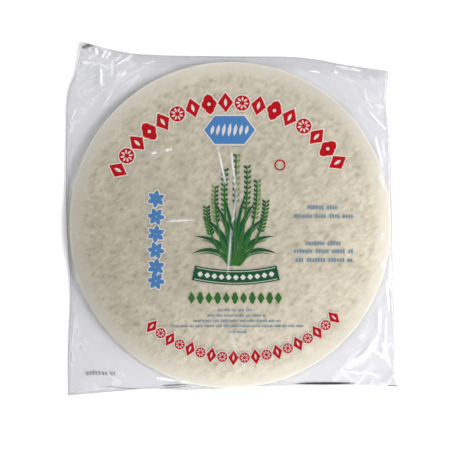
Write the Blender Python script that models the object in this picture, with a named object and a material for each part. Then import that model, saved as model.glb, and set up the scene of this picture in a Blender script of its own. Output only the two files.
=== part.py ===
"""A sealed clear bag of round rice papers, lying on its back with the printed side up.

The sealed bag is one closed solid. Its middle is the round stack that the film is drawn over, and its
margin is the two films that run from the stack's rim out to the seams, with the tucks that cross the corners.
The origin is the centre of the stack's flat underside, +X is the bag's right and +Y is its sealed top end.
"""

import math

import bmesh
import bpy
from mathutils import Vector

# Driving dimensions, in metres
STACK_RADIUS = 0.1107  # the 220 mm papers lie a little out of line
SIDE_SQUEEZE = 0.0014  # how far the bag presses the stack's left and right edges in
STACK_HEIGHT = 0.0155
SHOULDER = 0.0016  # how far the film rounds off the stack's upper rim
FOOT_INSET = 0.0015  # the underside starts to lift this far inside the rim
EDGE_THICKNESS = 0.0009  # the two films and the seam, as one edge
TOP_BAND = 0.0060  # the flat weld along the sealed top end
SIDE_BAND = 0.0020  # the narrower weld along the other three sides
SEAM_HIGH = 0.0062  # height of the seam where the stack fills the bag
SEAM_LOW = 0.0013  # height of the seam far from the stack
SEAM_EASE = 0.0120  # margin over which the seam sinks from high to low
FILM_FALL = 0.0105  # distance over which the upper film falls away from the rim
BACK_POWER = 1.3  # how the lower film rises from the underside to the seam
LEAST_FREE = 0.35  # the least share of the margin that the weld leaves free

# The bag's outline, clockwise from the top left corner. Each side starts at its corner.
SIDES = {
    "top": [
        (-0.1013, 0.1259), (-0.0827, 0.1211), (-0.0566, 0.1175),
        (-0.0014, 0.1161), (0.0483, 0.1156), (0.0794, 0.1106),
    ],
    "right": [
        (0.1091, 0.1060), (0.1078, 0.0828), (0.1105, 0.0518),
        (0.1116, -0.0007), (0.1129, -0.0517), (0.1140, -0.0863),
    ],
    "bottom": [
        (0.1154, -0.1112), (0.0979, -0.1108), (0.0690, -0.1109), (0.0220, -0.1111),
        (-0.0276, -0.1137), (-0.0552, -0.1131), (-0.0829, -0.1154),
    ],
    "left": [
        (-0.1118, -0.1178), (-0.1118, -0.0829), (-0.1101, -0.0448), (-0.1126, -0.0007),
        (-0.1132, 0.0518), (-0.1122, 0.0891), (-0.1062, 0.1062),
    ],
}
OUTLINE_STEP = 0.0047  # spacing of the points along the outline
CURVE_STEPS = 12  # fine points between two of the outline's points

# Each corner turns up by its own height, over this distance from its tip
CORNER_LIFTS = {"top": 0.0050, "right": 0.0022, "bottom": 0.0030, "left": 0.0006}
LIFT_REACH = 0.022

# Tucks: the film is drawn across each corner in ridges that run along the rim's tangent there
TUCK_OFFSETS = (0.009, 0.021, 0.033)  # outward from the rim, along the corner's diagonal
TUCK_HEIGHT = 0.0018
TUCK_WIDTH = 0.0030
TUCK_REACH = 0.030  # half the length of a tuck
BACK_TUCK = 0.6  # the lower film's tucks, as a share of the upper film's

# Where the rings of points lie, as shares
STACK_RINGS = (0.40, 0.80)  # of the flat top's radius
BACK_STACK_RING = 0.55  # of the underside's radius
MARGIN_RINGS = (0.10, 0.21, 0.33, 0.46, 0.60, 0.74, 0.88)  # of the free margin, rim to weld
BACK_MARGIN_RINGS = (0.18, 0.38, 0.60, 0.82)
SHOULDER_ANGLES = (0.0, 35.0, 65.0)  # degrees round the rim's rounding


def spline_point(a, b, c, d, t):
    """A point on the Catmull-Rom curve from b to c."""
    return 0.5 * (2 * b + (c - a) * t + (2 * a - 5 * b + 4 * c - d) * t**2 + (3 * b - a - 3 * c + d) * t**3)


def side_points(name, following):
    """Even points along one side of the bag, from its corner up to, and not with, the next corner."""
    knots = [Vector(p) for p in SIDES[name]] + [Vector(SIDES[following][0])]
    knots = [2 * knots[0] - knots[1], *knots, 2 * knots[-1] - knots[-2]]
    fine = [
        spline_point(*knots[k : k + 4], step / CURVE_STEPS)
        for k in range(len(knots) - 3)
        for step in range(CURVE_STEPS)
    ] + [knots[-2]]
    travelled = [0.0]
    for a, b in zip(fine, fine[1:]):
        travelled.append(travelled[-1] + (b - a).length)
    count = round(travelled[-1] / OUTLINE_STEP)
    points, at = [], 0
    for k in range(count):
        goal = travelled[-1] * k / count
        while travelled[at + 1] < goal:
            at += 1
        share = (goal - travelled[at]) / (travelled[at + 1] - travelled[at])
        points.append(fine[at].lerp(fine[at + 1], share))
    return points


def outline():
    """(point, side) all the way round the bag, with a point on each of its corners."""
    names = list(SIDES)
    return [
        (point, name)
        for name, following in zip(names, names[1:] + names[:1])
        for point in side_points(name, following)
    ]


def corner_lift(point):
    """How far a point is raised by the corners that turn up."""
    return sum(
        lift * math.exp(-(((point - Vector(SIDES[name][0])).length / LIFT_REACH) ** 2))
        for name, lift in CORNER_LIFTS.items()
    )


def rim_radius(direction):
    """The stack's radius in one direction."""
    return STACK_RADIUS - SIDE_SQUEEZE * direction.x**4


def tuck_height(point):
    """The height of the tucks at a point of the margin."""
    height = 0.0
    for name in SIDES:
        outward = Vector(SIDES[name][0]).normalized()
        along = point.dot(Vector((-outward.y, outward.x)))
        out = point.dot(outward) - STACK_RADIUS
        if abs(along) < TUCK_REACH and out > 0:
            taper = math.cos(math.pi / 2 * along / TUCK_REACH) ** 2
            height += sum(
                TUCK_HEIGHT * taper * math.exp(-(((out - offset) / TUCK_WIDTH) ** 2))
                for offset in TUCK_OFFSETS
            )
    return height


def film_fall(distance, margin):
    """1 at the rim and 0 at the weld: how much of its height the upper film still has."""
    end = math.exp(-margin / FILM_FALL)
    return (math.exp(-distance / FILM_FALL) - end) / (1 - end)


class Spoke:
    """One column of points, from the stack's centre out to one point of the outline."""

    def __init__(self, tip, side):
        self.direction = tip.normalized()
        self.rim = rim_radius(self.direction)
        self.margin = tip.length - self.rim
        band = TOP_BAND if side == "top" else SIDE_BAND
        self.free = max(self.margin - band, self.margin * LEAST_FREE)
        self.seam = SEAM_LOW + (SEAM_HIGH - SEAM_LOW) * math.exp(-self.margin / SEAM_EASE) + corner_lift(tip)

    def at(self, radius, height):
        flat = self.direction * radius
        return Vector((flat.x, flat.y, height))

    def shoulder(self, degrees):
        """A point on the film's rounding over the stack's rim."""
        angle = math.radians(degrees)
        radius = self.rim - SHOULDER * (1 - math.sin(angle))
        return self.at(radius, STACK_HEIGHT - SHOULDER * (1 - math.cos(angle)))

    def upper(self):
        """Points on the upper film, from the stack's top out to the edge."""
        points = [self.at((self.rim - SHOULDER) * share, STACK_HEIGHT) for share in STACK_RINGS]
        points += [self.shoulder(degrees) for degrees in SHOULDER_ANGLES]
        rim_height = points[-1].z
        edge = self.seam + EDGE_THICKNESS / 2
        for share in MARGIN_RINGS:
            distance = share * self.free
            height = edge + (rim_height - edge) * film_fall(distance, self.free)
            point = self.at(self.rim + distance, height)
            point.z += tuck_height(point.xy) * math.sin(math.pi * share)
            points.append(point)
        points.append(self.at(self.rim + self.free, edge))
        points.append(self.at(self.rim + self.margin, edge))
        return points

    def lower(self):
        """Points on the lower film, from the edge in to the stack's underside."""
        edge = self.seam - EDGE_THICKNESS / 2
        points = [self.at(self.rim + self.margin, edge), self.at(self.rim + self.free, edge)]
        for share in reversed(BACK_MARGIN_RINGS):
            point = self.at(self.rim + share * self.free, edge * share**BACK_POWER)
            point.z += BACK_TUCK * tuck_height(point.xy) * math.sin(math.pi * share) * share
            points.append(point)
        points.append(self.at(self.rim - FOOT_INSET, 0))
        points.append(self.at(self.rim * BACK_STACK_RING, 0))
        return points


def make_bag(material):
    """The sealed bag as one closed solid: a fan of spokes that share one point above and one below."""
    shape = bmesh.new()
    top_centre = shape.verts.new((0, 0, STACK_HEIGHT))
    base_centre = shape.verts.new((0, 0, 0))
    columns = []
    for tip, side in outline():
        spoke = Spoke(tip, side)
        columns.append([shape.verts.new(point) for point in spoke.upper() + spoke.lower()])
    for column, following in zip(columns, columns[1:] + columns[:1]):
        shape.faces.new((top_centre, column[0], following[0]))
        for k in range(len(column) - 1):
            shape.faces.new((column[k], column[k + 1], following[k + 1], following[k]))
        shape.faces.new((base_centre, following[-1], column[-1]))
    bmesh.ops.recalc_face_normals(shape, faces=shape.faces)
    mesh = bpy.data.meshes.new("bag")
    shape.to_mesh(mesh)
    shape.free()
    mesh.shade_smooth()
    mesh.materials.append(material)
    bag = bpy.data.objects.new("bag", mesh)
    bpy.context.scene.collection.objects.link(bag)
    return bag


def filled_film_material():
    """Clear glossy film, in the colour of the rice paper that shows through it."""
    material = bpy.data.materials.new("filled_film")
    material.use_nodes = True
    shader = material.node_tree.nodes["Principled BSDF"]
    shader.inputs["Base Color"].default_value = (0.58, 0.54, 0.43, 1)
    shader.inputs["Roughness"].default_value = 0.22
    shader.inputs["Metallic"].default_value = 0.0
    return material


def main():
    for obj in list(bpy.data.objects):
        bpy.data.objects.remove(obj)
    make_bag(filled_film_material())


main()
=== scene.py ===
"""The looks of a sealed clear bag of round rice papers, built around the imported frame.

The CAD solid is replaced by what it stands for: the clear film bag, the stack of thin rice papers in it, and
the print on the film's inner side. All sizes are metres in the frame's own axes: the bag lies on its back,
+Z up, with its sealed top end towards +Y.
"""

import math

import bpy
import numpy as np
from mathutils.bvhtree import BVHTree
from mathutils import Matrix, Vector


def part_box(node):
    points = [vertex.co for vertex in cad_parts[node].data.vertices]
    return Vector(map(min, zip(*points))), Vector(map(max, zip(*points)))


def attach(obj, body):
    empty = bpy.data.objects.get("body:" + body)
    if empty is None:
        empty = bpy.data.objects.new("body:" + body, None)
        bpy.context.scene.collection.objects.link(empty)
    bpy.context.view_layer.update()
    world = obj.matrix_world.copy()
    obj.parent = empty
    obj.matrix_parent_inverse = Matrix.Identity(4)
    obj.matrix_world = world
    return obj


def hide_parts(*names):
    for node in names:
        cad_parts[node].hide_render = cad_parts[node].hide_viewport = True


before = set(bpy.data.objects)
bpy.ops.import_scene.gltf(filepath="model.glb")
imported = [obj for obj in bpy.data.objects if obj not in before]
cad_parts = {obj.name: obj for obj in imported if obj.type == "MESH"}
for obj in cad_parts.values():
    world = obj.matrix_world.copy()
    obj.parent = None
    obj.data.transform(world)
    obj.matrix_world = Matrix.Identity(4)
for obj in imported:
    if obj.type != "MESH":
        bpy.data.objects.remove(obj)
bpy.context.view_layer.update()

MM = 0.001
STACK_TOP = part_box("bag")[1][2]

# ---------------------------------------------------------------- the bag's shape, as in the CAD source
STACK_RADIUS = 0.1107  # the 220 mm papers lie a little out of line
SIDE_SQUEEZE = 0.0014  # how far the bag presses the stack's left and right edges in
SHOULDER = 0.0016  # how far the film rounds off the stack's upper rim
FOOT_INSET = 0.0015  # the underside starts to lift this far inside the rim
TOP_BAND = 0.0060  # the flat weld along the sealed top end
SIDE_BAND = 0.0020  # the narrower weld along the other three sides
SEAM_HIGH = 0.0062  # height of the seam where the stack fills the bag
SEAM_LOW = 0.0013  # height of the seam far from the stack
SEAM_EASE = 0.0120  # margin over which the seam sinks from high to low
FILM_FALL = 0.0105  # distance over which the upper film falls away from the rim
BACK_POWER = 1.3  # how the lower film rises from the underside to the seam
LEAST_FREE = 0.35  # the least share of the margin that the weld leaves free

SIDES = {
    "top": [
        (-0.1013, 0.1259), (-0.0827, 0.1211), (-0.0566, 0.1175),
        (-0.0014, 0.1161), (0.0483, 0.1156), (0.0794, 0.1106),
    ],
    "right": [
        (0.1091, 0.1060), (0.1078, 0.0828), (0.1105, 0.0518),
        (0.1116, -0.0007), (0.1129, -0.0517), (0.1140, -0.0863),
    ],
    "bottom": [
        (0.1154, -0.1112), (0.0979, -0.1108), (0.0690, -0.1109), (0.0220, -0.1111),
        (-0.0276, -0.1137), (-0.0552, -0.1131), (-0.0829, -0.1154),
    ],
    "left": [
        (-0.1118, -0.1178), (-0.1118, -0.0829), (-0.1101, -0.0448), (-0.1126, -0.0007),
        (-0.1132, 0.0518), (-0.1122, 0.0891), (-0.1062, 0.1062),
    ],
}
CORNER_LIFTS = {"top": 0.0050, "right": 0.0022, "bottom": 0.0030, "left": 0.0006}
LIFT_REACH = 0.022
TUCK_OFFSETS = (0.009, 0.021, 0.033)
TUCK_HEIGHT = 0.0018
TUCK_WIDTH = 0.0030
TUCK_REACH = 0.030
BACK_TUCK = 0.6

# ---------------------------------------------------------------- the film's own detail
COLUMN_STEP = 1.0 * MM  # spacing of the film's points along its outline
FILM_EDGE = 0.25 * MM  # the two welded films
# The rings over the stack, as shares of its flat top, closer where short creases cross them
DISC_SHARES = np.concatenate(
    [np.arange(0.04, 0.53, 0.04), np.arange(0.55, 0.745, 0.01), np.linspace(0.77, 1, 7)]
)
MARGIN_RINGS = 52
WELD_RINGS = 6
MARGIN_HAZE = 0.07  # share of the margin's film that is cloudy, and what its welds and edge add
WELD_HAZE = 0.12
EDGE_HAZE = 0.05
EDGE_SHADE = 0.28  # painted shade along the film's outline, for the light its folded edge bends away, and how much of the light its welds keep back
WELD_SHADE = 0.08
SEAM_WIDTH = 10.0 * MM  # the crimped grey band along the sealed top end
SEAM_SHADE = 0.07
RIM_PAINTED_SHADOW = 0.12  # painted shadow: how much the film is darkened just beside the stack's rim, for the stack's shadow there
RIM_PAINTED_SHADOW_REACH = 3.0 * MM
SOFT_CREASE = 0.25 * MM  # how far a crease's ridge is rounded
GLEAM_WIDTH = 0.75 * MM  # half the width of the painted highlight along a crease
STEEP_REACH = 4.2 * MM  # the film is steep over this distance beside the rim, and the painted highlights are slimmer there
STEEP_SLIMMING = 2.5

# Creases: x0, y0, x1, y1, height, width and gleam, the strength of the painted highlight along it (partly the
# real whitening of creased film), all lengths in millimetres. Those over the stack are low.
STACK_CREASES = [
    (-8.6, 52.8, -2.6, 26.3, 0.45, 1.3, 0.75),  # the pair that runs down from the badge
    (0.4, 52.8, 4.4, 19.3, 0.45, 1.3, 0.75),
    (4.4, 21.3, 0.7, -4.7, 0.35, 1.1, 0.55),
    (0.7, -2.7, -1.6, -33.7, 0.35, 1.1, 0.55),
    (-45.1, 2.3, -23.1, 3.5, 0.25, 0.8, 0.70),  # the short one that runs across
    (-54.1, 48.3, -49.6, 49.5, 0.30, 0.9, 0.95),
    (-44.6, 50.1, -39.1, 51.9, 0.30, 0.9, 0.85),
    (99.9, 61.3, 104.4, 39.3, 0.45, 1.2, 0.60),  # down the right of the stack
    (102.4, 37.3, 106.4, 4.3, 0.45, 1.4, 0.55),
    (103.4, -2.7, 104.7, -34.7, 0.40, 1.4, 0.45),
    (-0.1, -70.7, 3.4, -86.7, 0.30, 5.0, 0.22),  # broad soft painted highlight below the print
]
MARGIN_CREASES = [
    (-88.5, 108.2, -88.0, 94.0, 0.9, 2.2, 1.00),  # top left corner
    (-81.1, 114.8, -80.8, 100.1, 0.7, 1.8, 0.45),
    (-79.1, 109.3, -67.0, 118.0, 0.8, 1.8, 0.60),
    (-74.5, 107.2, -78.5, 99.0, 0.5, 1.3, 0.40),
    (-71.5, 106.2, -74.5, 101.0, 0.5, 1.3, 0.35),
    (-80.0, 92.9, -86.7, 80.6, 0.8, 2.0, 0.50),
    (-93.1, 88.5, -96.3, 81.9, 0.5, 1.3, 0.35),
    (-106.4, 80.0, -109.8, 71.8, 0.6, 1.5, 0.65),
    (-111.4, 71.3, -107.6, 66.1, 0.5, 1.3, 0.60),
    (-103.8, 112.4, -90.7, 110.2, 0.7, 1.6, 0.60),
    (-91.7, 110.5, -81.7, 107.5, 0.6, 1.5, 0.40),
    (-99.0, 97.7, -103.0, 86.6, 0.7, 3.0, 0.10),
    (-61.8, 111.2, -50.6, 113.1, 0.5, 1.5, 0.35),
    (-92.2, 122.0, -91.2, 116.8, 0.4, 1.2, 0.70),  # crimps across the sealed band
    (-85.2, 120.1, -88.2, 114.8, 0.4, 1.0, 0.75),
    (-82.2, 119.5, -85.4, 114.3, 0.4, 1.0, 0.60),
    (-97.8, 120.7, -95.6, 119.5, 0.3, 1.0, 0.45),
    (-74.0, 117.2, -79.4, 113.1, 0.4, 1.1, 0.35),
    (-67.9, 116.0, -71.5, 112.5, 0.4, 1.1, 0.30),
    (53.9, 106.3, 62.6, 105.1, 0.6, 1.5, 0.80),  # top right corner
    (72.1, 106.9, 73.5, 103.9, 0.5, 1.2, 0.80),
    (72.4, 109.8, 84.6, 107.4, 0.5, 1.4, 0.45),
    (83.6, 108.1, 90.7, 105.8, 0.5, 1.3, 0.60),
    (95.0, 103.9, 100.3, 99.0, 0.6, 1.6, 0.35),
    (91.8, 94.1, 94.7, 84.9, 0.5, 1.5, 0.45),
    (95.2, 78.8, 108.5, 64.6, 0.9, 2.1, 0.60),
    (99.2, 83.0, 106.9, 81.0, 0.5, 1.4, 0.40),
    (98.3, 93.1, 106.9, 90.6, 0.5, 2.0, 0.15),
    (104.5, 59.9, 106.6, 44.6, 0.4, 1.2, 0.40),  # down the right side
    (108.9, 7.3, 107.7, -20.7, 0.5, 1.3, 0.60),
    (109.7, -18.7, 109.9, -45.1, 0.5, 1.4, 0.50),
    (107.4, -36.9, 109.8, -59.4, 0.5, 1.2, 0.50),
    (102.6, -57.2, 102.9, -74.1, 0.9, 2.6, 0.60),  # bottom right corner
    (107.7, -63.5, 107.0, -83.9, 0.7, 2.2, 0.40),
    (101.8, -76.7, 92.7, -89.4, 1.1, 3.6, 0.60),
    (94.7, -87.3, 80.5, -99.0, 1.1, 3.6, 0.60),
    (99.3, -86.7, 107.9, -92.0, 0.8, 2.6, 0.50),
    (104.4, -79.8, 110.9, -99.0, 0.7, 2.4, 0.40),
    (75.9, -100.5, 92.2, -102.1, 0.7, 2.2, 0.45),
    (90.2, -100.1, 104.3, -104.6, 0.7, 2.0, 0.45),
    (-51.0, -104.9, -36.2, -106.5, 0.6, 1.2, 0.90),  # bottom, left of the middle
    (-37.2, -105.9, -26.2, -108.6, 0.5, 1.2, 0.85),
    (-107.1, -59.4, -109.3, -86.0, 0.5, 1.5, 0.45),  # bottom left corner and left side
    (-109.5, -86.0, -107.9, -95.1, 0.5, 1.3, 0.55),
    (-103.5, -83.4, -97.9, -86.4, 0.4, 1.2, 0.35),
    (-106.7, 57.9, -110.3, 39.6, 0.5, 1.4, 0.40),
    (-109.0, -30.8, -108.3, -51.2, 0.5, 1.4, 0.35),
]
# Small random crinkles in each corner: how many, and how strong their painted highlights are
CORNER_CRINKLES = {"top": (46, 0.26), "right": (46, 0.20), "bottom": (64, 0.24), "left": (12, 0.08)}
# Pockets of painted shade, nearly black, where the edge's film stands up: x, y, half length and half width in
# millimetres, slope in degrees, and depth
PAINTED_DARK_POCKETS = [
    (65.4, -109.3, 20.5, 0.8, 0, 1.0),
    (111.9, -111.0, 4.0, 0.7, 0, 0.85),
    (-37.5, -110.0, 10.0, 0.7, -6, 0.75),
    (-97.2, 123.5, 5.6, 1.5, -20, 0.75),
    (-68.9, -112.9, 19.0, 0.45, 4.5, 0.5),
    (-38.4, -111.9, 12.0, 0.45, -5.5, 0.6),
]


def smoothstep(low, high, value):
    t = np.clip((value - low) / (high - low), 0, 1)
    return t * t * (3 - 2 * t)


def direction(degrees):
    """The unit vector that points that way."""
    angle = math.radians(degrees)
    return np.array((math.cos(angle), math.sin(angle)))


def turned(points, angle):
    """Points in axes turned by an angle."""
    c, s = math.cos(angle), math.sin(angle)
    return points @ np.array(((c, -s), (s, c)))


def smooth_noise(points, cell, seed):
    """Even random hills between -1 and 1, one cell apart, on a grid turned by the seed."""
    table = np.random.default_rng(seed).uniform(-1, 1, (512, 512))
    at = turned(points, seed) / cell + 256
    low = np.floor(at).astype(int)
    share = at - low
    share = share * share * share * (share * (6 * share - 15) + 10)
    i, j = low[..., 0] % 511, low[..., 1] % 511
    near = table[i, j] * (1 - share[..., 0]) + table[i + 1, j] * share[..., 0]
    far = table[i, j + 1] * (1 - share[..., 0]) + table[i + 1, j + 1] * share[..., 0]
    return near * (1 - share[..., 1]) + far * share[..., 1]


def catmull_rom(knots, steps):
    """Fine points on the smooth curve through the knots."""
    knots = np.vstack([2 * knots[0] - knots[1], knots, 2 * knots[-1] - knots[-2]])
    t = np.arange(steps)[:, None] / steps
    spans = [
        0.5 * (2 * b + (c - a) * t + (2 * a - 5 * b + 4 * c - d) * t**2 + (3 * b - a - 3 * c + d) * t**3)
        for a, b, c, d in zip(knots, knots[1:], knots[2:], knots[3:])
    ]
    return np.vstack([*spans, knots[-2]])


def bag_outline(step):
    """Even points all the way round the bag, and whether each lies on the top side."""
    names = list(SIDES)
    points, on_top = [], []
    for name, following in zip(names, names[1:] + names[:1]):
        fine = catmull_rom(np.array(SIDES[name] + SIDES[following][:1]), 24)
        travelled = np.concatenate([[0], np.cumsum(np.linalg.norm(np.diff(fine, axis=0), axis=1))])
        count = round(travelled[-1] / step)
        goals = travelled[-1] * np.arange(count) / count
        points.append(np.stack([np.interp(goals, travelled, fine[:, k]) for k in (0, 1)], axis=1))
        on_top += [name == "top"] * count
    return np.vstack(points), np.array(on_top)


def rim_radius(points):
    """The stack's radius in the direction of each point."""
    along = points[..., 0] / np.maximum(np.linalg.norm(points, axis=-1), 1e-9)
    return STACK_RADIUS - SIDE_SQUEEZE * along**4


def past_rim(points):
    """How far each point is outside the stack's rim."""
    return np.linalg.norm(points, axis=-1) - rim_radius(points)


def tuck_height(points):
    """The ridges that cross each corner along the rim's tangent."""
    height = np.zeros(points.shape[:-1])
    for name in SIDES:
        outward = np.array(SIDES[name][0])
        outward = outward / np.linalg.norm(outward)
        along = points @ np.array((-outward[1], outward[0]))
        out = points @ outward - STACK_RADIUS
        taper = np.where(np.abs(along) < TUCK_REACH, np.cos(np.pi / 2 * along / TUCK_REACH) ** 2, 0)
        ridges = sum(np.exp(-(((out - offset) / TUCK_WIDTH) ** 2)) for offset in TUCK_OFFSETS)
        height += TUCK_HEIGHT * np.where(out > 0, taper * ridges, 0)
    return height


def random_crinkles():
    """Small creases: across each corner along the rim's tangent, and short ruffles in from the seams."""
    rng = np.random.default_rng(11)
    crinkles = []
    for name, (count, painted_gleam) in CORNER_CRINKLES.items():
        corner = np.array(SIDES[name][0])
        for _ in range(count):
            spot = corner * rng.uniform(0.70, 0.99) + rng.normal(0, 0.014, 2)
            angle = math.atan2(spot[1], spot[0]) + math.pi / 2 + rng.normal(0, 0.26)
            half = rng.uniform(0.0035, 0.014) * np.array((math.cos(angle), math.sin(angle)))
            ends = np.concatenate([spot - half, spot + half]) / MM
            shine = painted_gleam * rng.uniform(0, 1) ** 2
            crinkles.append((*ends, rng.uniform(0.15, 0.50), rng.uniform(0.9, 2.8), shine))
    tips, _ = bag_outline(5 * MM)
    for tip in tips:
        inward = -tip / np.linalg.norm(tip)
        start = tip + rng.normal(0, 0.0015, 2)
        end = start + inward * rng.uniform(0.004, 0.010) + rng.normal(0, 0.002, 2)
        ends = np.concatenate([start, end]) / MM
        crinkles.append((*ends, rng.uniform(0.1, 0.35), rng.uniform(0.8, 1.6), 0.25 * rng.uniform(0, 1) ** 2))
    return crinkles


def crease_field(points, creases):
    """The height that straight creases give the film, and the painted highlights along them, partly the real
    whitening of creased film.
    """
    height = np.zeros(points.shape[:-1])
    painted_gleam = np.zeros(points.shape[:-1])
    for x0, y0, x1, y1, rise, width, shine in creases:
        start, end = np.array((x0, y0)) * MM, np.array((x1, y1)) * MM
        length = np.linalg.norm(end - start)
        line = (end - start) / length
        offset = points - start
        along = offset @ line / length
        across = offset @ np.array((-line[1], line[0]))
        taper = np.clip(1 - (2 * along - 1) ** 2, 0, 1)
        height += rise * MM * taper * np.exp(-np.sqrt(across**2 + SOFT_CREASE**2) / (width * MM))
        spread = max(GLEAM_WIDTH, 0.35 * width * MM)
        painted_gleam += shine * np.sqrt(taper) * np.exp(-((across / spread) ** 2))
    return height, np.clip(painted_gleam, 0, 1)


def painted_pocket_shade(points):
    """Painted shade: 1 in the dark pockets along the bag's edge, 0 elsewhere."""
    shade = np.zeros(points.shape[:-1])
    for x, y, half_length, half_width, slope, depth in PAINTED_DARK_POCKETS:
        offset = turned(points / MM - (x, y), -math.radians(slope)) / (half_length, half_width)
        shade = np.maximum(shade, depth * smoothstep(1.2, 0.75, np.linalg.norm(offset, axis=-1)))
    return shade


class BagShape:
    """The bag's spokes: for each point of the outline, its direction, margin and seam height."""

    def __init__(self, step):
        self.tips, self.on_top = bag_outline(step)
        distance = np.linalg.norm(self.tips, axis=1)
        self.direction = self.tips / distance[:, None]
        self.rim = rim_radius(self.tips)
        self.margin = distance - self.rim
        band = np.where(self.on_top, TOP_BAND, SIDE_BAND)
        self.free = np.maximum(self.margin - band, self.margin * LEAST_FREE)
        lift = sum(
            rise * np.exp(-((np.linalg.norm(self.tips - SIDES[name][0], axis=1) / LIFT_REACH) ** 2))
            for name, rise in CORNER_LIFTS.items()
        )
        self.seam = SEAM_LOW + (SEAM_HIGH - SEAM_LOW) * np.exp(-self.margin / SEAM_EASE) + lift
        # The seam's own waviness, long and short
        wave = 0.5 * smooth_noise(self.tips, 16 * MM, 3) + 0.3 * smooth_noise(self.tips, 5 * MM, 4)
        self.seam += wave * MM * smoothstep(0.002, 0.02, self.margin)
        self.seam = np.maximum(self.seam, 0.5 * MM)

    def to_edge(self, flat):
        """How far each point of the rings is from the bag's outline, along its spoke."""
        return np.linalg.norm(self.tips, axis=1) - np.linalg.norm(flat, axis=-1)

    def ring(self, radius, height):
        """One ring of points, one on each spoke."""
        radius = np.broadcast_to(radius, self.margin.shape)
        flat = self.direction * radius[:, None]
        return np.column_stack([flat, np.broadcast_to(height, self.margin.shape)])

    def front(self):
        """Rings on the front film from the stack's middle to the edge, and how welded each point is."""
        flat_radius = self.rim - SHOULDER
        rings = [self.ring(flat_radius * share, STACK_TOP) for share in DISC_SHARES]
        for degrees in (13, 26, 39, 52, 65):
            angle = math.radians(degrees)
            radius = flat_radius + SHOULDER * math.sin(angle)
            rings.append(self.ring(radius, STACK_TOP - SHOULDER * (1 - math.cos(angle))))
        weld = [0.0 * self.margin] * len(rings)
        rim_height = rings[-1][0, 2]
        edge = self.seam + FILM_EDGE / 2
        end = np.exp(-self.free / FILM_FALL)
        for k in range(1, MARGIN_RINGS + 1):
            share = k / MARGIN_RINGS
            distance = share * self.free
            fall = (np.exp(-distance / FILM_FALL) - end) / (1 - end)
            ring = self.ring(self.rim + distance, edge + (rim_height - edge) * fall)
            ring[:, 2] += tuck_height(ring[:, :2]) * math.sin(math.pi * share)
            rings.append(ring)
            weld.append(0.0 * self.margin + (share == 1))
        for k in range(1, WELD_RINGS + 1):
            distance = self.free + (self.margin - self.free) * k / WELD_RINGS
            rings.append(self.ring(self.rim + distance, edge))
            weld.append(0.0 * self.margin + 1)
        return np.array(rings), np.array(weld)

    def back(self):
        """Rings on the back film from the underside's middle to the edge."""
        rings = [self.ring(self.rim * share, 0.05 * MM) for share in (0.2, 0.4, 0.6, 0.8, 0.9)]
        rings.append(self.ring(self.rim - FOOT_INSET, 0.05 * MM))
        edge = self.seam - FILM_EDGE / 2
        for k in range(1, MARGIN_RINGS // 2 + 1):
            share = 2 * k / MARGIN_RINGS
            ring = self.ring(self.rim + share * self.free, edge * share**BACK_POWER + 0.05 * MM * (1 - share))
            ring[:, 2] += BACK_TUCK * tuck_height(ring[:, :2]) * math.sin(math.pi * share) * share
            rings.append(ring)
        for k in range(1, WELD_RINGS // 2 + 1):
            distance = self.free + (self.margin - self.free) * 2 * k / WELD_RINGS
            rings.append(self.ring(self.rim + distance, edge))
        return np.array(rings)


# ---------------------------------------------------------------- meshes
def new_object(name, points, faces, attributes=None, smooth=True):
    """A mesh object from arrays of points and faces, with its numbers for the shader."""
    mesh = bpy.data.meshes.new(name)
    mesh.from_pydata(np.asarray(points).reshape(-1, 3).tolist(), [], faces)
    for key, values in (attributes or {}).items():
        layer = mesh.attributes.new(key, "FLOAT", "POINT")
        layer.data.foreach_set("value", np.asarray(values, dtype=np.float32).ravel())
    if smooth:
        mesh.shade_smooth()
    obj = bpy.data.objects.new(name, mesh)
    bpy.context.scene.collection.objects.link(obj)
    return obj


def fan_faces(rings, columns, flip=False):
    """Faces of a disc of rings round one middle point, which comes first."""
    around = np.arange(columns)
    ahead = (around + 1) % columns
    faces = [(0, 1 + a, 1 + b) for a, b in zip(around.tolist(), ahead.tolist())]
    for k in range(rings - 1):
        low = 1 + k * columns
        high = low + columns
        quads = np.stack([low + around, high + around, high + ahead, low + ahead], axis=1)
        faces += quads.tolist()
    return [tuple(reversed(face)) for face in faces] if flip else faces


def dress(piece, material):
    """Give a piece its finish, and say what it stands for."""
    piece.data.materials.append(material)
    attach(piece, "root")
    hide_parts("bag")
    return piece


def film_shade(shape, flat, weld):
    """How dark the film is: painted shade along its outline, its welds and sealed band, a painted shadow just
    beside the stack's rim, and the painted dark pockets.
    """
    to_edge = shape.to_edge(flat)
    beyond = past_rim(flat)
    # The outline's darkening is painted shade; the welds and the sealed band are grey of their own.
    shade = EDGE_SHADE * smoothstep(1.3 * MM, 0.3 * MM, to_edge) + WELD_SHADE * weld
    sealed = shape.on_top * smoothstep(SEAM_WIDTH + 1 * MM, SEAM_WIDTH - 1 * MM, to_edge)
    shade = shade + SEAM_SHADE * sealed * smoothstep(0, 4 * MM, beyond)
    # Painted shadow: the film is darkened all round just beside the stack's rim, standing in for the stack's
    # shadow there.
    painted_rim_shadow = smoothstep(-0.8 * MM, 1.2 * MM, beyond) * np.exp(-np.maximum(beyond, 0) / RIM_PAINTED_SHADOW_REACH)
    return np.maximum(shade + RIM_PAINTED_SHADOW * painted_rim_shadow, painted_pocket_shade(flat))


def film_haze(shape, flat, weld):
    """How cloudy the film is: clear over the stack, faint beside it, and more so along its welds."""
    beside = smoothstep(0.5 * MM, 5 * MM, past_rim(flat))
    to_edge = shape.to_edge(flat)
    rim = smoothstep(1.6 * MM, 0.4 * MM, to_edge)
    return MARGIN_HAZE * beside + WELD_HAZE * weld + EDGE_HAZE * rim * beside


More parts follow.
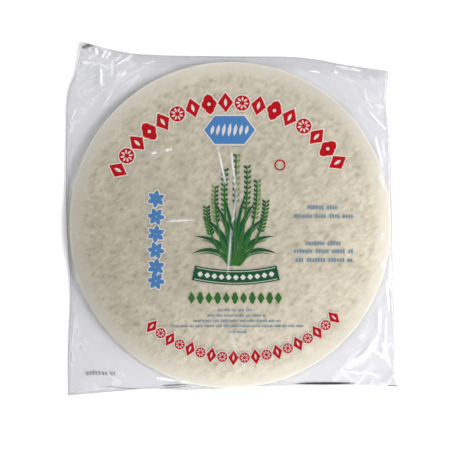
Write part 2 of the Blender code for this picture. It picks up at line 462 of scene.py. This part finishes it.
def make_film_front(shape, material):
    rings, weld = shape.front()
    flat = rings[..., :2]
    beyond = past_rim(flat)
    over_stack = smoothstep(1 * MM, -3 * MM, beyond)
    low_rise, low_gleam = crease_field(flat, STACK_CREASES)
    high_rise, high_gleam = crease_field(flat, MARGIN_CREASES + random_crinkles())
    soft = 0.12 * (1 + smooth_noise(flat, 34 * MM, 21)) + 0.05 * (1 + smooth_noise(flat, 9 * MM, 22))
    sides = smoothstep(0, 0.3, 1 - weld) * smoothstep(-2 * MM, 2 * MM, beyond)
    free = smoothstep(0.5 * MM, 5 * MM, shape.to_edge(flat))
    rings[..., 2] += low_rise * over_stack + soft * MM * over_stack
    rings[..., 2] += high_rise * (1 - over_stack) * np.maximum(sides * free, 0.12)
    # No haze and no painted highlight inside the pockets of painted shade.
    clear = 1 - painted_pocket_shade(flat)
    steep = np.exp(-np.maximum(beyond, 0) / STEEP_REACH)
    high_gleam = high_gleam ** (1 + STEEP_SLIMMING * steep) * smoothstep(-2 * MM, 1 * MM, beyond)
    painted_gleam = np.clip(low_gleam + high_gleam, 0, 1) * clear
    middle = [(0, 0, rings[0, :, 2].mean())]
    points = np.vstack([middle, rings.reshape(-1, 3)])
    attributes = {
        "painted_gleam": np.append(0, painted_gleam),
        "haze": np.append(0, film_haze(shape, flat, weld) * clear),
        "shade": np.append(0, film_shade(shape, flat, weld)),
    }
    faces = fan_faces(len(rings), rings.shape[1])
    return dress(new_object("film_front", points, faces, attributes), material)


def make_film_back(shape, material):
    rings = shape.back()
    flat = rings[..., :2]
    to_edge = shape.to_edge(flat)
    free = smoothstep(1 * MM, 6 * MM, to_edge) * smoothstep(0, 5 * MM, past_rim(flat))
    crumple = 0.25 * smooth_noise(flat, 7 * MM, 31) + 0.12 * smooth_noise(flat, 3 * MM, 32)
    rings[..., 2] = np.maximum(rings[..., 2] + crumple * MM * free, 0.04 * MM)
    points = np.vstack([[(0, 0, 0.05 * MM)], rings.reshape(-1, 3)])
    zero = np.zeros(len(points))
    haze = np.append(0, film_haze(shape, flat, 0))
    attributes = {"painted_gleam": zero, "haze": haze, "shade": zero}
    faces = fan_faces(len(rings), rings.shape[1], flip=True)
    return dress(new_object("film_back", points, faces, attributes), material)


# ---------------------------------------------------------------- the rice papers
SHEETS = 33
SHEET_THICKNESS = 0.28 * MM
BASE_GAP = 0.10 * MM  # from the floor to the lowest sheet, for the back film
FILM_GAP = 0.36 * MM  # from the highest sheet's mean to the film over it
SHEET_COLUMNS = 180
TOP_GRID = 270  # cells across the highest sheet, whose relief shows
WEAVE_ANGLE = math.radians(34)  # the way the drying mat's marks run
MARK_LENGTH = 1.6  # how much longer a mark is than wide
SPOT_PITCH = 8.5 * MM  # spacing of the darker spots
RIM_BAND = 13.0 * MM  # how far in from its rim a sheet grows smoother and thinner


def weave_field(points):
    """The drying mat's imprint on a sheet: soft uneven marks, and small darker spots between them."""
    mat = turned(points, WEAVE_ANGLE) + 0.8 * MM * smooth_noise(points, 14 * MM, 41)[..., None]
    marks = mat / np.array((MARK_LENGTH, 1))
    marks = 0.55 * smooth_noise(marks, 1.9 * MM, 43) + 0.45 * smooth_noise(marks, 1.0 * MM, 44)
    patches = smooth_noise(points, 7 * MM, 45)
    rng = np.random.default_rng(46)
    reach = int(STACK_RADIUS / SPOT_PITCH) + 2
    spots = np.zeros(points.shape[:-1])
    for i in range(-reach, reach + 1):
        for j in range(-reach, reach + 1):
            centre = (np.array((i + 0.5 * (j % 2), j * 0.87)) + rng.uniform(-0.3, 0.3, 2)) * SPOT_PITCH
            wide, depth = rng.uniform(0.8, 1.5) * MM, rng.uniform(0.15, 1)
            offset = (mat - centre) / np.array((1.3 * wide, wide))
            spots = np.maximum(spots, depth * np.exp(-(offset**2).sum(axis=-1)))
    inside = smoothstep(0, -RIM_BAND, past_rim(points))
    return np.clip(0.34 + 0.42 * marks + 0.14 * patches + 0.62 * spots, 0, 1) * (0.3 + 0.7 * inside), inside


def disc_grid(cells):
    """A square grid mapped evenly onto the unit disc."""
    line = np.linspace(-1, 1, cells + 1)
    a, b = np.meshgrid(line, line, indexing="ij")
    wide = np.abs(a) > np.abs(b)
    radius = np.where(wide, a, b)
    safe_a, safe_b = np.where(a == 0, 1, a), np.where(b == 0, 1, b)
    angle = np.where(wide, np.pi / 4 * b / safe_a, np.pi / 2 - np.pi / 4 * a / safe_b)
    angle = np.where((a == 0) & (b == 0), 0, angle)
    return np.stack([radius * np.cos(angle), radius * np.sin(angle)], axis=-1)


def sheet_wave(points, number):
    """How far a sheet bends away from flat, in step with its neighbours."""
    drift = number * 0.4 * MM
    moved = points + np.array((drift, -drift))
    return 0.10 * MM * smooth_noise(moved, 28 * MM, 51) + 0.05 * MM * smooth_noise(moved, 11 * MM, 52)


def make_top_paper(material):
    """The highest sheet, with the mat's imprint as relief."""
    flat = disc_grid(TOP_GRID)
    flat *= rim_radius(flat)[..., None]
    weave, inside = weave_field(flat)
    relief = -0.07 * weave - 0.06 * (1 - inside)
    height = STACK_TOP - FILM_GAP + relief * MM + 0.3 * sheet_wave(flat, SHEETS)
    count = TOP_GRID + 1
    index = np.arange(count * count).reshape(count, count)
    quads = np.stack([index[:-1, :-1], index[1:, :-1], index[1:, 1:], index[:-1, 1:]], axis=-1).reshape(-1, 4)
    border = np.concatenate([index[:-1, 0], index[-1, :-1], index[:0:-1, -1], index[0, :0:-1]])
    top = np.concatenate([flat, height[..., None]], axis=-1).reshape(-1, 3)
    under = top[border] - (0, 0, SHEET_THICKNESS)
    first = len(top)
    middle = first + len(border)
    below = np.arange(len(border)) + first
    faces = quads.tolist()
    for k, corner in enumerate(border.tolist()):
        following = (k + 1) % len(border)
        faces.append((int(below[k]), int(below[following]), int(border[following]), corner))
        faces.append((middle, int(below[following]), int(below[k])))
    points = np.vstack([top, under, [(0, 0, STACK_TOP - FILM_GAP - SHEET_THICKNESS)]])
    pad = np.zeros(len(border) + 1)
    attributes = {"weave": np.append(weave.ravel(), pad), "inside": np.append(inside.ravel(), pad)}
    obj = new_object("top_paper", points, faces, attributes)
    obj.data.set_sharp_from_angle(angle=math.radians(40))
    return dress(obj, material)


def make_paper_stack(material):
    """All the sheets below the highest one, each a thin wavy disc a little out of line with the next."""
    rng = np.random.default_rng(5)
    pitch = (STACK_TOP - FILM_GAP - SHEET_THICKNESS - BASE_GAP) / (SHEETS - 1)
    angles = np.linspace(0, 2 * np.pi, SHEET_COLUMNS, endpoint=False)
    circle = np.stack([np.cos(angles), np.sin(angles)], axis=1)
    shares = (0.55, 0.90, 0.97, 1.0)
    points, faces, weave, inside = [], [], [], []
    for number in range(SHEETS - 1):
        shift = rng.normal(0, 0.35 * MM, 2)
        radius = rim_radius(circle) - 0.7 * MM + rng.normal(0, 0.25 * MM)
        ragged = 0.25 * MM * smooth_noise(circle * 0.11 + number, 6 * MM, 53)
        base = BASE_GAP + number * pitch
        first = len(points)
        for side, height in enumerate((base + SHEET_THICKNESS, base)):
            order = shares if side == 0 else tuple(reversed(shares))
            if side == 0:
                points.append((*shift, height))
            for share in order:
                rim = shift + circle * ((radius + ragged) * share)[:, None]
                z = height + sheet_wave(rim, number) * min(1, number / 4)
                points += np.column_stack([rim, z]).tolist()
        points.append((*shift, base))
        rings = 2 * len(shares)
        faces += [tuple(first + k for k in face) for face in fan_faces(rings, SHEET_COLUMNS)]
        last_ring = first + 1 + (rings - 1) * SHEET_COLUMNS
        centre = len(points) - 1
        faces += [
            (centre, last_ring + (k + 1) % SHEET_COLUMNS, last_ring + k) for k in range(SHEET_COLUMNS)
        ]
    zero = np.zeros(len(points))
    obj = new_object("paper_stack", points, faces, {"weave": zero, "inside": zero})
    obj.data.set_sharp_from_angle(angle=math.radians(40))
    return dress(obj, material)


# ---------------------------------------------------------------- the print
INK_STEP = 1.1 * MM  # how finely a printed shape follows the film
INK_THICKNESS = 0.03 * MM
UPPER_INK = 0.05 * MM  # depth of the coloured inks under the film
LOWER_INK = 0.10 * MM  # depth of the white that backs and outlines them
OUTLINE = 0.9  # width of the white outline, in millimetres
PRINT_CENTRE = (-1.1 * MM, -0.7 * MM)  # the print sits a little off the stack's centre


class Ink:
    """One colour of print: flat shapes, laid on the film's inner side as thin slabs."""

    def __init__(self, name, depth):
        self.name = name
        self.depth = depth
        self.patches = []

    def loft(self, left, right, place=None):
        """Fill between two edges of equally many points, in millimetres, moved by place."""
        left, right = np.asarray(left, float), np.asarray(right, float)
        widest = np.linalg.norm(right - left, axis=1).max()
        across = max(1, math.ceil(widest * MM / INK_STEP))
        share = np.linspace(0, 1, across + 1)[None, :, None]
        grid = left[:, None] * (1 - share) + right[:, None] * share
        self.patches.append(place(grid) if place else grid)

    def bar(self, start, end, width):
        """A straight strip from point to point."""
        start, end = np.array(start, float), np.array(end, float)
        length = np.linalg.norm(end - start)
        steps = max(1, math.ceil(length * MM / INK_STEP))
        t = np.linspace(0, 1, steps + 1)[:, None]
        spine = start + (end - start) * t
        normal = np.array((start[1] - end[1], end[0] - start[0])) / length
        self.loft(spine + normal * width / 2, spine - normal * width / 2)

    def leaf(self, start, end, width, place=None, bow=0.0, blunt=0.75):
        """A pointed leaf or grain from point to point, bowed sideways by a share of its length."""
        start, end = np.array(start, float), np.array(end, float)
        length = np.linalg.norm(end - start)
        steps = max(6, math.ceil(length * MM / INK_STEP))
        t = np.linspace(0, 1, steps + 1)[:, None]
        normal = np.array((start[1] - end[1], end[0] - start[0])) / length
        spine = start + (end - start) * t + normal * bow * length * 4 * t * (1 - t)
        half = width / 2 * np.maximum(np.sin(np.pi * t), 0.02) ** blunt
        self.loft(spine + normal * half, spine - normal * half, place)

    def ring(self, centre, inner, outer, place=None, start=0.0, end=360.0):
        """A ring, or a part of one."""
        turn = math.radians(end - start)
        steps = max(12, math.ceil(turn * outer * MM / INK_STEP))
        angles = np.radians(start) + np.linspace(0, turn, steps + 1)
        circle = np.stack([np.cos(angles), np.sin(angles)], axis=1)
        self.loft(np.array(centre) + circle * inner, np.array(centre) + circle * outer, place)

    def lay(self, film, slot, material):
        """Make the piece: each patch becomes a slab that follows the film from below."""
        points, faces = [], []
        for grid in self.patches:
            rows, columns = grid.shape[:2]
            flat = grid.reshape(-1, 2) * MM + PRINT_CENTRE
            heights = np.array([film_height(film, x, y) for x, y in flat.tolist()]) - self.depth
            first = len(points)
            size = rows * columns
            points += np.column_stack([flat, heights]).tolist()
            points += np.column_stack([flat, heights - INK_THICKNESS]).tolist()
            index = np.arange(size).reshape(rows, columns) + first
            quads = np.stack([index[:-1, :-1], index[1:, :-1], index[1:, 1:], index[:-1, 1:]], axis=-1)
            top = quads.reshape(-1, 4)
            border = np.concatenate([index[:-1, 0], index[-1, :-1], index[:0:-1, -1], index[0, :0:-1]])
            after = np.roll(border, -1)
            walls = np.stack([border, border + size, after + size, after], axis=1)
            a, b, c = grid[0, 0], grid[-1, 0], grid[-1, -1]
            counter = np.cross(b - a, c - b) > 0
            pieces = [top, top[:, ::-1] + size, walls[:, ::-1]]
            for part in pieces:
                faces += (part if counter else part[:, ::-1]).tolist()
        return dress(new_object(self.name, points, faces, smooth=False), material)


def film_height(film, x, y):
    """The height of the front film over a point."""
    hit = film.ray_cast((x, y, STACK_TOP + 0.05), (0, 0, -1))[0]
    return hit.z


def along_arc(centre, radius, start, upright=True):
    """Places a cell's points on an arc: x runs along it from an angle in degrees, y stands on it."""

    def place(points):
        turn = -1 if upright else 1
        angle = math.radians(start) + turn * points[..., 0] / radius
        reach = radius + (1 if upright else -1) * points[..., 1]
        return np.stack([centre[0] + reach * np.cos(angle), centre[1] + reach * np.sin(angle)], axis=-1)

    return place


def shifted(place, x, y=0.0):
    """The same placing, moved along by x and y first."""
    return lambda points: place(points + np.array((x, y)))


def as_is(points):
    return points


def with_outline(ink, white, draw):
    """Draw a motif in its ink, and a grown one in white behind it."""
    draw(ink, 0.0)
    if white:
        draw(white, OUTLINE)


def rosette(ink, white, over, place, width, height):
    """A filled disc with a ring of white grains."""
    size = min(width, height) / 2
    with_outline(ink, white, lambda layer, grow: layer.ring((0, 0), 0.0, size + grow, place))
    if over:
        for k in range(8):
            way = direction(45 * k)
            over.leaf(way * size * 0.26, way * size * 0.84, size * 0.24, place, blunt=0.8)


def quatrefoil(ink, white, over, place, width, height):
    """Four fat petals, which meet in the middle round a white dot."""
    half = np.array((width, height)) / 2

    def draw(layer, grow):
        for k in range(4):
            way = direction(90 * k)
            reach = abs(way @ half)
            layer.leaf(-way * grow, way * (reach + 1.4 * grow), 0.62 * width + 1.6 * grow, place, blunt=0.62)

    with_outline(ink, white, draw)
    if over:
        over.ring((0, 0), 0.0, 0.11 * width, place)


def solid_lozenge(ink, white, over, place, width, height):
    """A filled lozenge with a white grain in its middle."""

    def draw(layer, grow):
        half = np.array((width / 2 + 1.3 * grow, height / 2 + 1.5 * grow))
        steps = np.linspace(0, 1, 7)[:, None]
        side = np.vstack([steps * half * (1, 0) + (1 - steps) * half * (0, -1), half * (0, 1)])
        layer.loft(side[:-1] * 1.0, side[:-1] * (-1, 1), place)
        upper = steps * half * (0, 1) + (1 - steps) * half * (1, 0)
        layer.loft(upper, upper * (-1, 1), place)

    with_outline(ink, white, draw)
    if over:
        over.leaf((0, -0.2 * height), (0, 0.2 * height), 0.2 * width, place, blunt=0.8)


def petals(ink, white, place, size, turn):
    """Six pointed petals round a small gap."""

    def draw(layer, grow):
        for k in range(6):
            way = direction(turn + 60 * k)
            start, end = way * (size * 0.04 - grow), way * (size * 0.54 + grow)
            layer.leaf(start, end, size * 0.29 + 2 * grow, place, blunt=0.6)

    with_outline(ink, white, draw)


def ornament_row(ink, white, over, place, motifs, cell, width, height):
    """An even row of ornaments."""
    for k, motif in enumerate(motifs):
        motif(ink, white, over, shifted(place, (k + 0.5) * cell), width, height)


def tick_row(ink, start, end, y, height, seed, words=True):
    """A row of fine upright ticks in uneven groups."""
    rng = np.random.default_rng(seed)
    x = start
    left_in_word = rng.integers(3, 8)
    while x < end:
        ink.bar((x, y - height / 2), (x, y + height * rng.uniform(0.25, 0.5)), 0.34 * height)
        x += 0.62 * height
        left_in_word -= 1
        if words and left_in_word == 0:
            x += 0.6 * height
            left_in_word = rng.integers(3, 8)


def draw_arcs(red, white, over):
    """The two red bands of ornaments, over and under the middle of the print."""
    upper = along_arc((1.0, -2.0), 86.0, 156.0)
    row = (solid_lozenge, rosette, solid_lozenge, quatrefoil) * 5
    ornament_row(red, white, over, upper, row[:17], 11.3, 10.4, 13.6)
    lower = along_arc((6.5, 1.4), 91.0, 227.5, upright=False)
    row = (solid_lozenge, rosette) * 10
    ornament_row(red, white, over, lower, row[:19], 7.57, 6.9, 10.6)


BADGE_CENTRE = np.array((0.7, 65.3))


def draw_badge(blue, white, white_over):
    """A long six-sided badge with a white outline and a row of white grains."""

    def six_sided(ink, half_width, half_height):
        slope = half_height * 0.75
        left = np.array([
            (-half_width, 0),
            (-half_width + slope, half_height),
            (half_width - slope, half_height),
            (half_width, 0),
        ])
        fine = np.vstack([a + (b - a) * np.linspace(0, 1, 14)[:, None] for a, b in zip(left, left[1:])])
        ink.loft(BADGE_CENTRE + fine, BADGE_CENTRE + fine * (1, -1))

    six_sided(white, 18.4, 10.6)
    six_sided(blue, 17.2, 9.5)
    for k in range(-3, 4):
        x = 3.9 * k
        tall = 4.6 - 0.5 * abs(k)
        white_over.leaf(BADGE_CENTRE + (x - 0.8, -tall), BADGE_CENTRE + (x + 0.8, tall), 2.3, blunt=0.8)


def draw_sheaf(dark, mid, light):
    """A sheaf of rice plants: stems that fan out, with long blades and ears of grain."""
    foot = np.array((4.0, -27.0))
    stems = [
        (-22, 40, -0.10), (-15, 54, -0.07), (-7, 66, -0.04), (1.5, 76, 0.0),
        (10, 68, 0.04), (18, 58, 0.07), (25, 44, 0.10),
    ]
    for k, (lean, height, bow) in enumerate(stems):
        start = foot + (lean * 0.12, 0)
        tip = foot + (lean * 0.85, height)
        t = np.linspace(0, 1, 40)[:, None]
        normal = np.array((start[1] - tip[1], tip[0] - start[0])) / np.linalg.norm(tip - start)
        spine = start + (tip - start) * t - normal * bow * height * 4 * t * (1 - t)
        half = 0.95 - 0.65 * t
        mid.loft(spine + normal * half, spine - normal * half)
        dark.loft(spine + normal * half * 1.35, spine + normal * half * 0.55)
        draw_ear(light if k % 2 else mid, dark, spine, lean)
    for side in (-1, 1):
        for start, reach, rise, width, bow in (
            (0.5, 27, 20, 3.0, 0.16), (1.5, 22, 33, 2.8, 0.13), (0.8, 15, 44, 2.6, 0.10),
            (1.8, 29, 8, 2.6, 0.20), (1.0, 8, 50, 2.2, 0.05),
        ):
            base = foot + (side * start, 2)
            tip = foot + (side * reach, rise)
            dark.leaf(base, tip, width, bow=side * bow, blunt=0.8)
            vein = 0.12 * (tip - base)
            mid.leaf(base + vein, tip - vein, width * 0.35, bow=side * bow * 0.8, blunt=0.8)


def draw_ear(ink, dark, spine, lean):
    """Grains in pairs along the upper part of a stem, which hang outward at its tip."""
    side = math.copysign(1, lean)
    for k in range(9):
        at = spine[-2 - 2 * k]
        way = spine[-1 - 2 * k] - spine[-3 - 2 * k] if k else spine[-1] - spine[-3]
        way = way / np.linalg.norm(way)
        for hand in (-1, 1):
            out = np.array((way[1], -way[0])) * hand
            tip = at + way * 2.6 + out * 2.5 + (side * 0.3, -0.4)
            (ink if hand == side else dark).leaf(at + out * 0.4, tip, 1.55, blunt=0.7)


def draw_ribbon(dark, white_over):
    """A gently bowed band with a line of lozenges."""
    centre = (5.0, 95.0)
    radius = 130.0
    start, end = 257.2, 282.8
    dark.ring(centre, radius - 5.0, radius + 5.0, start=start, end=end)
    for edge in (-3.9, 3.9):
        white_over.ring(centre, radius + edge - 0.2, radius + edge + 0.2, start=start + 0.6, end=end - 0.6)
    for k in range(-5, 6):
        spot = along_arc(centre, radius, 270 + 2.15 * k, upright=False)
        white_over.leaf((-1.9, 0), (1.9, 0), 3.6, spot, blunt=1.0)


def draw_small_print(green, blue, pale, red, grey, white):
    """The small rows: green ornaments, fine blue rows, the column of motifs, the ring and the stamp."""
    row = (solid_lozenge, quatrefoil) * 6
    ornament_row(green, None, None, shifted(as_is, -28.0, -49.0), row[:-1], 5.9, 4.9, 8.0)
    for number, (start, end, y) in enumerate(
        [(-6.5, 18, -57.1), (-14, 25.5, -60.9), (-23.5, 35.7, -64.6), (-38.5, 51.3, -68.0), (0.3, 12, -72.1)]
    ):
        tick_row(pale, start, end, y, 1.7, 60 + number)
    for number, (start, end, y) in enumerate(
        [(54.7, 74.5, 12.9), (45.2, 84.7, 6.8), (53.4, 77.2, -11.6), (45.2, 85.3, -17.0), (46.6, 84.7, -23.1)]
    ):
        tick_row(pale, start, end, y, 3.0, 70 + number)
    for number, y in enumerate((18.4, 6.4, -5.4, -16.6, -28.0, -37.4)):
        place = shifted(as_is, -49.3, y)
        petals(blue, white, place, 11.0, turn=22.5 + 30.0 * (number % 2))
    red.ring((35.0, 41.5), 2.9, 3.8)
    for start, end in ((-97.5, -89.0), (-86.5, -83.0), (-80.8, -77.5)):
        tick_row(grey, start, end, -101.3, 3.4, 80, words=False)


def make_print(film_piece, materials):
    """All the print, one piece for each ink."""
    mesh = film_piece.data
    film = BVHTree.FromPolygons(
        [v.co.copy() for v in mesh.vertices], [tuple(p.vertices) for p in mesh.polygons]
    )
    inks = {
        "print_white": Ink("print_white", LOWER_INK),
        "print_red": Ink("print_red", UPPER_INK),
        "print_blue": Ink("print_blue", UPPER_INK),
        "print_dark_green": Ink("print_dark_green", UPPER_INK + 0.02 * MM),
        "print_mid_green": Ink("print_mid_green", UPPER_INK),
        "print_light_green": Ink("print_light_green", UPPER_INK - 0.01 * MM),
        "print_pale_blue": Ink("print_pale_blue", UPPER_INK),
        "print_grey": Ink("print_grey", UPPER_INK),
        "print_white_over": Ink("print_white_over", UPPER_INK - 0.03 * MM),
    }
    white, red, blue = inks["print_white"], inks["print_red"], inks["print_blue"]
    dark, over = inks["print_dark_green"], inks["print_white_over"]
    draw_arcs(red, white, over)
    draw_badge(blue, white, over)
    draw_sheaf(dark, inks["print_mid_green"], inks["print_light_green"])
    draw_ribbon(dark, over)
    draw_small_print(inks["print_mid_green"], blue, inks["print_pale_blue"], red, inks["print_grey"], white)
    colours = ("white", "red", "blue", "green", "grey")
    return [
        ink.lay(film, next(colour for colour in colours if colour in name) + "_ink", materials[name])
        for name, ink in inks.items()
    ]


# ---------------------------------------------------------------- materials
def srgb(red, green, blue):
    """A colour given as it shows, 0 to 255, as the linear colour that a shader takes."""
    shown = np.array((red, green, blue)) / 255
    linear = np.where(shown <= 0.04045, shown / 12.92, ((shown + 0.055) / 1.055) ** 2.4)
    return (*linear.tolist(), 1.0)


class Nodes:
    """Short names for making and joining a material's nodes."""

    def __init__(self, name):
        self.material = bpy.data.materials.new(name)
        self.material.use_nodes = True
        self.tree = self.material.node_tree
        self.tree.nodes.clear()

    def add(self, kind, **inputs):
        node = self.tree.nodes.new("ShaderNode" + kind)
        for key, value in inputs.items():
            self.set(node, key.replace("_", " "), value)
        return node

    def set(self, node, key, value):
        socket = node.inputs[int(key)] if key.isdigit() else node.inputs[key]
        if isinstance(value, bpy.types.NodeSocket):
            self.tree.links.new(value, socket)
        else:
            socket.default_value = value

    def attribute(self, name):
        node = self.add("Attribute")
        node.attribute_name = name
        return node.outputs["Fac"]

    def math(self, operation, a, b):
        node = self.add("Math")
        node.operation = operation
        self.set(node, "0", a)
        self.set(node, "1", b)
        return node.outputs[0]

    def mix_colour(self, share, a, b):
        node = self.add("MixRGB", Fac=share, Color1=a, Color2=b)
        return node.outputs[0]

    def mix_shader(self, share, a, b):
        node = self.add("MixShader")
        for key, value in (("0", share), ("1", a), ("2", b)):
            self.set(node, key, value)
        return node.outputs[0]

    def noise(self, scale, detail, stretch=(1, 1, 1)):
        place = self.add("TexCoord").outputs["Object"]
        if stretch != (1, 1, 1):
            node = self.add("Mapping", Vector=place, Scale=stretch)
            place = node.outputs[0]
        node = self.add("TexNoise", Vector=place, Scale=scale, Detail=detail)
        return node.outputs["Fac"]

    def bump(self, height, strength, distance):
        return self.add("Bump", Height=height, Strength=strength, Distance=distance).outputs[0]

    def glancing(self, normal, straight):
        """How much a thin film reflects, alike from both its sides: Schlick's rule."""
        facing = self.add("LayerWeight", Normal=normal).outputs["Facing"]
        grazing = self.math("POWER", facing, 5.0)
        return self.math("ADD", straight, self.math("MULTIPLY", grazing, 1 - straight))

    def finish(self, surface):
        output = self.add("OutputMaterial", Surface=surface)
        output.is_active_output = True
        return self.material


def film_material():
    """Clear film: mostly open, with a grey haze, painted white highlights along its creases (partly the real
    whitening of creased film), darkened at its welds and by painted shade, and a glossy face.
    """
    n = Nodes("clear_film")
    painted_gleam, haze, shade = n.attribute("painted_gleam"), n.attribute("haze"), n.attribute("shade")
    normal = n.bump(n.noise(900, 3), 0.08, 0.0003)
    # The shade darkens the film towards black: the welds' own grey, and painted shade at the outline, beside
    # the rim and in the edge's pockets.
    tint = n.mix_colour(shade, (0.885, 0.885, 0.895, 1), (0.06, 0.06, 0.06, 1))
    clear = n.add("BsdfTransparent", Color=tint).outputs[0]
    # The white along the creases is a painted highlight, partly the real whitening of creased film.
    cloud_and_highlight_colour = n.mix_colour(painted_gleam, (0.60, 0.60, 0.64, 1), (1.0, 1.0, 1.0, 1))
    cloud_and_highlight = n.add("BsdfDiffuse", Color=cloud_and_highlight_colour).outputs[0]
    patchy = n.math("ADD", 0.75, n.math("MULTIPLY", n.noise(110, 3), 0.5))
    amount = n.math("ADD", n.math("MULTIPLY", haze, patchy), n.math("MULTIPLY", painted_gleam, 0.85))
    body = n.mix_shader(n.math("MINIMUM", amount, 0.95), clear, cloud_and_highlight)
    gloss = n.add("BsdfGlossy", Color=(1, 1, 1, 1), Roughness=0.10, Normal=normal).outputs[0]
    return n.finish(n.mix_shader(n.glancing(normal, 0.04), body, gloss))


def paper_material():
    """Dry rice paper: pale beige, duller in the mat's thin spots and lighter round the rim."""
    n = Nodes("rice_paper")
    weave, inside = n.attribute("weave"), n.attribute("inside")
    mottle = n.noise(90, 4)
    fine = n.noise(700, 3, (1, 0.55, 1))
    warm = n.mix_colour(mottle, srgb(200, 192, 173), srgb(186, 179, 160))
    speckled = n.mix_colour(n.math("MULTIPLY", fine, 0.25), warm, srgb(146, 139, 121))
    spotted = n.mix_colour(n.math("MULTIPLY", weave, 0.72), speckled, srgb(128, 121, 104))
    colour = n.mix_colour(n.math("ADD", 0.35, n.math("MULTIPLY", inside, 0.65)), srgb(186, 182, 172), spotted)
    normal = n.bump(n.math("SUBTRACT", fine, weave), 0.35, 0.0003)
    surface = n.add(
        "BsdfPrincipled", Base_Color=colour, Roughness=0.55, Normal=normal, Specular_IOR_Level=0.3
    )
    return n.finish(surface.outputs[0])


def ink_material(name, colour, patchy, uneven=0.35):
    """Printed ink: nearly even, with the slight mottling of a film print, and no gloss under the film."""
    n = Nodes(name)
    mottle = n.noise(260, 4)
    tone = n.mix_colour(n.math("MULTIPLY", mottle, uneven), colour, patchy)
    normal = n.bump(n.noise(1500, 2), 0.12, 0.0001)
    surface = n.add("BsdfPrincipled", Base_Color=tone, Roughness=0.6, Normal=normal, Specular_IOR_Level=0.0)
    return n.finish(surface.outputs[0])


def floor_material():
    n = Nodes("pale_floor")
    tone = n.mix_colour(n.noise(3, 2), (0.86, 0.86, 0.86, 1), (0.88, 0.88, 0.88, 1))
    return n.finish(n.add("BsdfPrincipled", Base_Color=tone, Roughness=0.9).outputs[0])


# ---------------------------------------------------------------- the stage
CAMERA_CENTRE = (-2.8 * MM, -0.7 * MM)
VIEW_WIDTH = 0.3074  # at the height of the stack's top
LENS = 100.0
SENSOR = 36.0


def make_camera():
    data = bpy.data.cameras.new("camera")
    data.lens = LENS
    data.sensor_width = SENSOR
    data.clip_start = 0.01
    camera = bpy.data.objects.new("camera", data)
    camera.location = (*CAMERA_CENTRE, STACK_TOP + VIEW_WIDTH * LENS / SENSOR)
    bpy.context.scene.collection.objects.link(camera)
    bpy.context.scene.camera = camera


def make_light(name, place, size, power, gloss=False, lit=None, shadows=True):
    """A soft panel over or beside the bag. A gloss panel only shows in the film."""
    data = bpy.data.lights.new(name, "AREA")
    data.shape = "RECTANGLE"
    data.size, data.size_y = size
    data.energy = power
    data.use_shadow = shadows
    light = bpy.data.objects.new(name, data)
    light.location = place
    way = -np.array(place)
    turn = math.atan2(way[1], way[0])
    tilt = math.acos(-way[2] / np.linalg.norm(way))
    light.rotation_euler = (tilt, 0, turn - math.pi / 2)
    light.visible_camera = False
    light.visible_glossy = gloss
    light.visible_diffuse = not gloss
    if lit:
        light.light_linking.receiver_collection = bpy.data.collections.new(name)
        for obj in lit:
            light.light_linking.receiver_collection.objects.link(obj)
    bpy.context.scene.collection.objects.link(light)


def make_stage(bare, prints):
    """The floor and the lights. The near lights reach the film and the papers, and the print has its own."""
    size = 3.0
    points = [(-size, -size, 0), (size, -size, 0), (size, size, 0), (-size, size, 0)]
    floor = new_object("floor", np.array(points) - (0, 0, 0.0002), [(0, 1, 2, 3)], smooth=False)
    floor.data.materials.append(floor_material())
    world = bpy.data.worlds.new("studio")
    bpy.context.scene.world = world
    world.use_nodes = True
    back = world.node_tree.nodes["Background"]
    back.inputs["Color"].default_value = (0.96, 0.98, 1.0, 1)
    back.inputs["Strength"].default_value = 0.15
    make_light("key", (0.58, -0.16, 1.45), (0.35, 0.35), 17.0)
    make_light("fill", (0.05, 0.0, 0.9), (0.9, 0.9), 0.8)
    make_light("floor_wash", (0, 0, 1.2), (1.2, 1.2), 7.2, lit=[floor], shadows=False)
    make_light("floor_side", (0.35, -0.30, 0.55), (0.40, 0.40), 1.0, lit=[floor], shadows=False)
    make_light("print_wash", (0.35, 0.20, 0.40), (0.30, 0.30), 0.85, lit=prints)
    for name, angle, distance, height, power in (
        ("upper_right", 45, 0.20, 0.12, 0.030),
        ("top", 90, 0.20, 0.12, 0.222),
        ("upper_left", 135, 0.20, 0.12, 0.104),
        ("corner", 315, 0.20, 0.12, 0.200),
        ("low_right", 0, 0.17, 0.05, 0.285),
        ("low_bottom", 270, 0.17, 0.05, 0.300),
    ):
        way = direction(angle)
        make_light("near_" + name, (*(way * distance), height), (0.16, 0.10), power, lit=bare)
    for name, angle, power in (("right", 0, 1.0), ("top", 90, 0.8), ("left", 180, 0.8), ("bottom", 270, 0.8)):
        way = direction(angle)
        make_light("gloss_" + name, (*(way * 0.62), 0.75), (0.7, 0.16), power, gloss=True)
    bpy.context.scene.view_settings.view_transform = "Standard"


def main():
    shape = BagShape(COLUMN_STEP)
    film = film_material()
    front = make_film_front(shape, film)
    paper = paper_material()
    bare = [front, make_film_back(shape, film), make_top_paper(paper), make_paper_stack(paper)]
    prints = make_print(front, {
        "print_white": ink_material("white_ink", srgb(240, 232, 220), srgb(222, 212, 198)),
        "print_white_over": ink_material("white_over_ink", srgb(238, 234, 228), srgb(222, 216, 208)),
        "print_red": ink_material("red_ink", srgb(205, 14, 26), srgb(176, 12, 26)),
        "print_blue": ink_material("blue_ink", srgb(80, 138, 198), srgb(96, 150, 202)),
        "print_dark_green": ink_material("dark_green_ink", srgb(30, 90, 60), srgb(48, 104, 70)),
        "print_mid_green": ink_material("mid_green_ink", srgb(66, 124, 52), srgb(44, 100, 60)),
        "print_light_green": ink_material("light_green_ink", srgb(128, 160, 84), srgb(96, 138, 74)),
        "print_pale_blue": ink_material("pale_blue_ink", srgb(116, 155, 181), srgb(138, 169, 188)),
        "print_grey": ink_material("grey_ink", srgb(170, 170, 170), srgb(188, 188, 188)),
    })
    make_camera()
    make_stage(bare, prints)


main()
